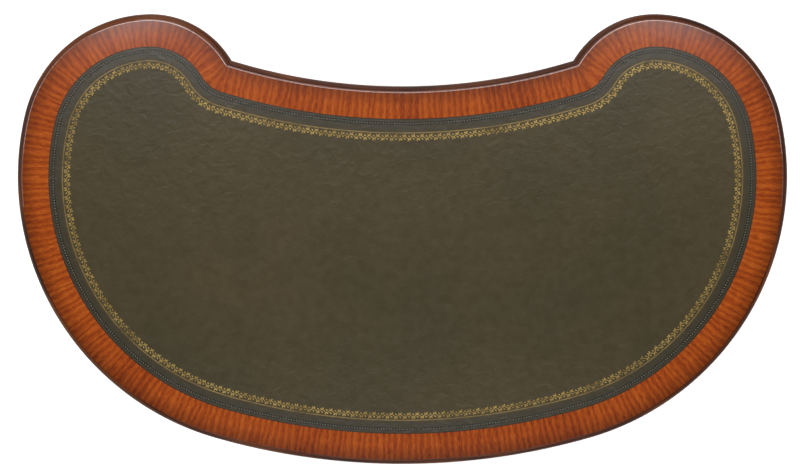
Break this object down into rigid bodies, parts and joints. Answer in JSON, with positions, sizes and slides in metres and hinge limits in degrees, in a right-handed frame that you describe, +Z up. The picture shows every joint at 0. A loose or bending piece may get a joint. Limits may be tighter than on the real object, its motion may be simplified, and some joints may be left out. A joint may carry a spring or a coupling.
{
  "type": "kidney-shaped pedestal desk",
  "caption": "Kidney-shaped pedestal writing desk with a tooled leather top, crossbanded border, moulded edge, bow-fronted drawers with brass drop handles and a bowed back.",
  "frame": {"origin": "on the floor, under the centre of the rectangle around the top", "axes": "+X to the sitter's right along the desk, +Y away from the sitter to the bowed back, +Z up"},
  "size_m": [1.32, 0.7767, 0.762],
  "materials": {
    "polished_mahogany": "french polish",
    "crossband_veneer": "french polish",
    "carcase_mahogany": "waxed",
    "drawer_lining_oak": "waxed",
    "leather": "waxed, gold tooled",
    "brass": "polished and lacquered"
  },
  "bodies": {
    "carcase": {"top_board": "carcase_mahogany", "edge_moulding": "polished_mahogany", "crossband_border": "crossband_veneer", "leather_surface": "leather", "right_pedestal_boards": "carcase_mahogany", "right_outer_shell": "polished_mahogany", "right_inner_side": "polished_mahogany", "left_pedestal_boards": "carcase_mahogany", "left_outer_shell": "polished_mahogany", "left_inner_side": "polished_mahogany", "back_panel": "polished_mahogany", "plinth": "polished_mahogany", "kneehole_drawer_frame": "carcase_mahogany", "top_fixing_blocks": "drawer_lining_oak"},
    "centre_drawer": {"centre_drawer_front": "polished_mahogany", "centre_drawer_box": "drawer_lining_oak", "centre_drawer_bottom": "drawer_lining_oak", "centre_drawer_handle_posts": "brass"},
    "right_drawer_1": {"right_drawer_1_front": "polished_mahogany", "right_drawer_1_box": "drawer_lining_oak", "right_drawer_1_bottom": "drawer_lining_oak", "right_drawer_1_handle_posts": "brass"},
    "left_drawer_1": {"left_drawer_1_front": "polished_mahogany", "left_drawer_1_box": "drawer_lining_oak", "left_drawer_1_bottom": "drawer_lining_oak", "left_drawer_1_handle_posts": "brass"},
    "right_drawer_2": {"right_drawer_2_front": "polished_mahogany", "right_drawer_2_box": "drawer_lining_oak", "right_drawer_2_bottom": "drawer_lining_oak", "right_drawer_2_handle_posts": "brass"},
    "left_drawer_2": {"left_drawer_2_front": "polished_mahogany", "left_drawer_2_box": "drawer_lining_oak", "left_drawer_2_bottom": "drawer_lining_oak", "left_drawer_2_handle_posts": "brass"},
    "right_drawer_3": {"right_drawer_3_front": "polished_mahogany", "right_drawer_3_box": "drawer_lining_oak", "right_drawer_3_bottom": "drawer_lining_oak", "right_drawer_3_handle_posts": "brass"},
    "left_drawer_3": {"left_drawer_3_front": "polished_mahogany", "left_drawer_3_box": "drawer_lining_oak", "left_drawer_3_bottom": "drawer_lining_oak", "left_drawer_3_handle_posts": "brass"},
    "right_drawer_4": {"right_drawer_4_front": "polished_mahogany", "right_drawer_4_box": "drawer_lining_oak", "right_drawer_4_bottom": "drawer_lining_oak", "right_drawer_4_handle_posts": "brass"},
    "left_drawer_4": {"left_drawer_4_front": "polished_mahogany", "left_drawer_4_box": "drawer_lining_oak", "left_drawer_4_bottom": "drawer_lining_oak", "left_drawer_4_handle_posts": "brass"},
    "right_drawer_1_bail": {"right_drawer_1_bail": "brass"},
    "left_drawer_1_bail": {"left_drawer_1_bail": "brass"},
    "right_drawer_2_bail": {"right_drawer_2_bail": "brass"},
    "left_drawer_2_bail": {"left_drawer_2_bail": "brass"},
    "right_drawer_3_bail": {"right_drawer_3_bail": "brass"},
    "left_drawer_3_bail": {"left_drawer_3_bail": "brass"},
    "right_drawer_4_bail": {"right_drawer_4_bail": "brass"},
    "left_drawer_4_bail": {"left_drawer_4_bail": "brass"},
    "centre_drawer_right_bail": {"centre_drawer_right_bail": "brass"},
    "centre_drawer_left_bail": {"centre_drawer_left_bail": "brass"}
  },
  "joints": [
    {"name": "centre_drawer_slide", "type": "slide", "parent": "carcase", "child": "centre_drawer", "axis": [0, -1, 0], "range_m": [0, 0.24]},
    {"name": "right_drawer_1_slide", "type": "slide", "parent": "carcase", "child": "right_drawer_1", "axis": [0, -1, 0], "range_m": [0, 0.29]},
    {"name": "left_drawer_1_slide", "type": "slide", "parent": "carcase", "child": "left_drawer_1", "axis": [0, -1, 0], "range_m": [0, 0.29]},
    {"name": "right_drawer_2_slide", "type": "slide", "parent": "carcase", "child": "right_drawer_2", "axis": [0, -1, 0], "range_m": [0, 0.29]},
    {"name": "left_drawer_2_slide", "type": "slide", "parent": "carcase", "child": "left_drawer_2", "axis": [0, -1, 0], "range_m": [0, 0.29]},
    {"name": "right_drawer_3_slide", "type": "slide", "parent": "carcase", "child": "right_drawer_3", "axis": [0, -1, 0], "range_m": [0, 0.29]},
    {"name": "left_drawer_3_slide", "type": "slide", "parent": "carcase", "child": "left_drawer_3", "axis": [0, -1, 0], "range_m": [0, 0.29]},
    {"name": "right_drawer_4_slide", "type": "slide", "parent": "carcase", "child": "right_drawer_4", "axis": [0, -1, 0], "range_m": [0, 0.29]},
    {"name": "left_drawer_4_slide", "type": "slide", "parent": "carcase", "child": "left_drawer_4", "axis": [0, -1, 0], "range_m": [0, 0.29]},
    {"name": "right_drawer_1_bail_swing", "type": "hinge", "parent": "right_drawer_1", "child": "right_drawer_1_bail", "pos_m": [0.44319, -0.36773, 0.689], "axis": [-0.9965, -0.0839, 0], "range_deg": [-18, 90]},
    {"name": "left_drawer_1_bail_swing", "type": "hinge", "parent": "left_drawer_1", "child": "left_drawer_1_bail", "pos_m": [-0.44319, -0.36773, 0.689], "axis": [-0.9965, 0.0839, 0], "range_deg": [-18, 90]},
    {"name": "right_drawer_2_bail_swing", "type": "hinge", "parent": "right_drawer_2", "child": "right_drawer_2_bail", "pos_m": [0.44319, -0.36773, 0.549], "axis": [-0.9965, -0.0839, 0], "range_deg": [-18, 90]},
    {"name": "left_drawer_2_bail_swing", "type": "hinge", "parent": "left_drawer_2", "child": "left_drawer_2_bail", "pos_m": [-0.44319, -0.36773, 0.549], "axis": [-0.9965, 0.0839, 0], "range_deg": [-18, 90]},
    {"name": "right_drawer_3_bail_swing", "type": "hinge", "parent": "right_drawer_3", "child": "right_drawer_3_bail", "pos_m": [0.44319, -0.36773, 0.3825], "axis": [-0.9965, -0.0839, 0], "range_deg": [-18, 90]},
    {"name": "left_drawer_3_bail_swing", "type": "hinge", "parent": "left_drawer_3", "child": "left_drawer_3_bail", "pos_m": [-0.44319, -0.36773, 0.3825], "axis": [-0.9965, 0.0839, 0], "range_deg": [-18, 90]},
    {"name": "right_drawer_4_bail_swing", "type": "hinge", "parent": "right_drawer_4", "child": "right_drawer_4_bail", "pos_m": [0.44319, -0.36773, 0.199], "axis": [-0.9965, -0.0839, 0], "range_deg": [-18, 90]},
    {"name": "left_drawer_4_bail_swing", "type": "hinge", "parent": "left_drawer_4", "child": "left_drawer_4_bail", "pos_m": [-0.44319, -0.36773, 0.199], "axis": [-0.9965, 0.0839, 0], "range_deg": [-18, 90]},
    {"name": "centre_drawer_right_bail_swing", "type": "hinge", "parent": "centre_drawer", "child": "centre_drawer_right_bail", "pos_m": [0.14877, -0.25733, 0.689], "axis": [-0.9893, 0.146, 0], "range_deg": [-18, 90]},
    {"name": "centre_drawer_left_bail_swing", "type": "hinge", "parent": "centre_drawer", "child": "centre_drawer_left_bail", "pos_m": [-0.14877, -0.25733, 0.689], "axis": [-0.9893, -0.146, 0], "range_deg": [-18, 90]}
  ]
}
